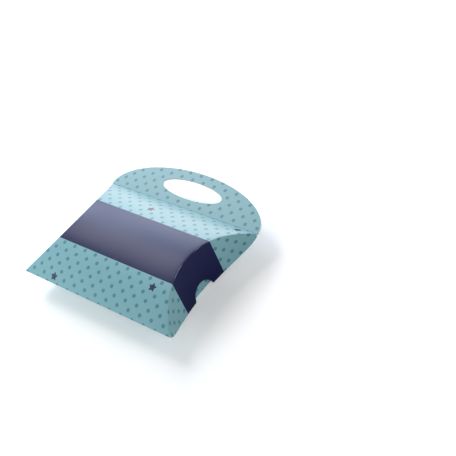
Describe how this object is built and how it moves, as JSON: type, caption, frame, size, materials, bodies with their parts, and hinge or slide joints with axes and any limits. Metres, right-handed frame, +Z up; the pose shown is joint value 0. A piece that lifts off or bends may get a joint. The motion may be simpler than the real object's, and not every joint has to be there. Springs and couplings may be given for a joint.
{
  "type": "pillow box with carrying handle",
  "caption": "Flat pillow-shaped carton of thin printed board with curved tuck-in end flaps and a half-round handle with a finger hole.",
  "frame": {"origin": "middle of the line that the back panel rests on, under the middle of the pouch", "axes": "+X along the pouch's length, +Y from the closed long fold to the handle, +Z up through the front panel"},
  "size_m": [0.14, 0.1284, 0.0341],
  "materials": {
    "printed_board": "gloss laminated, printed teal with a navy band",
    "glue": "dried adhesive film"
  },
  "bodies": {
    "pouch": {"front_panel": "printed_board", "back_panel": "printed_board"},
    "handle": {"handle_front": "printed_board", "handle_glue": "glue", "handle_back": "printed_board"},
    "outer_flap_right": {"right_outer_flap": "printed_board"},
    "outer_flap_left": {"left_outer_flap": "printed_board"},
    "inner_flap_right": {"right_inner_flap": "printed_board"},
    "inner_flap_left": {"left_inner_flap": "printed_board"}
  },
  "joints": [
    {"name": "handle_fold", "type": "hinge", "parent": "pouch", "child": "handle", "pos_m": [0, 0.049, 0.01702], "axis": [1, 0, 0], "range_deg": [-42, 55]},
    {"name": "outer_fold_right", "type": "hinge", "parent": "pouch", "child": "outer_flap_right", "pos_m": [0.05577, 0, 0.03002], "axis": [0, -1, 0], "range_deg": [0, 90]},
    {"name": "outer_fold_left", "type": "hinge", "parent": "pouch", "child": "outer_flap_left", "pos_m": [-0.05577, 0, 0.03002], "axis": [0, 1, 0], "range_deg": [0, 90]},
    {"name": "inner_fold_right", "type": "hinge", "parent": "pouch", "child": "inner_flap_right", "pos_m": [0.05619, 0, 0.00404], "axis": [0, 1, 0], "range_deg": [0, 54]},
    {"name": "inner_fold_left", "type": "hinge", "parent": "pouch", "child": "inner_flap_left", "pos_m": [-0.05619, 0, 0.00404], "axis": [0, -1, 0], "range_deg": [0, 54]}
  ],
  "couplings": [
    {"joint": "inner_fold_right", "follows": "outer_fold_right", "ratio": 0.6},
    {"joint": "inner_fold_left", "follows": "outer_fold_left", "ratio": 0.6}
  ]
}
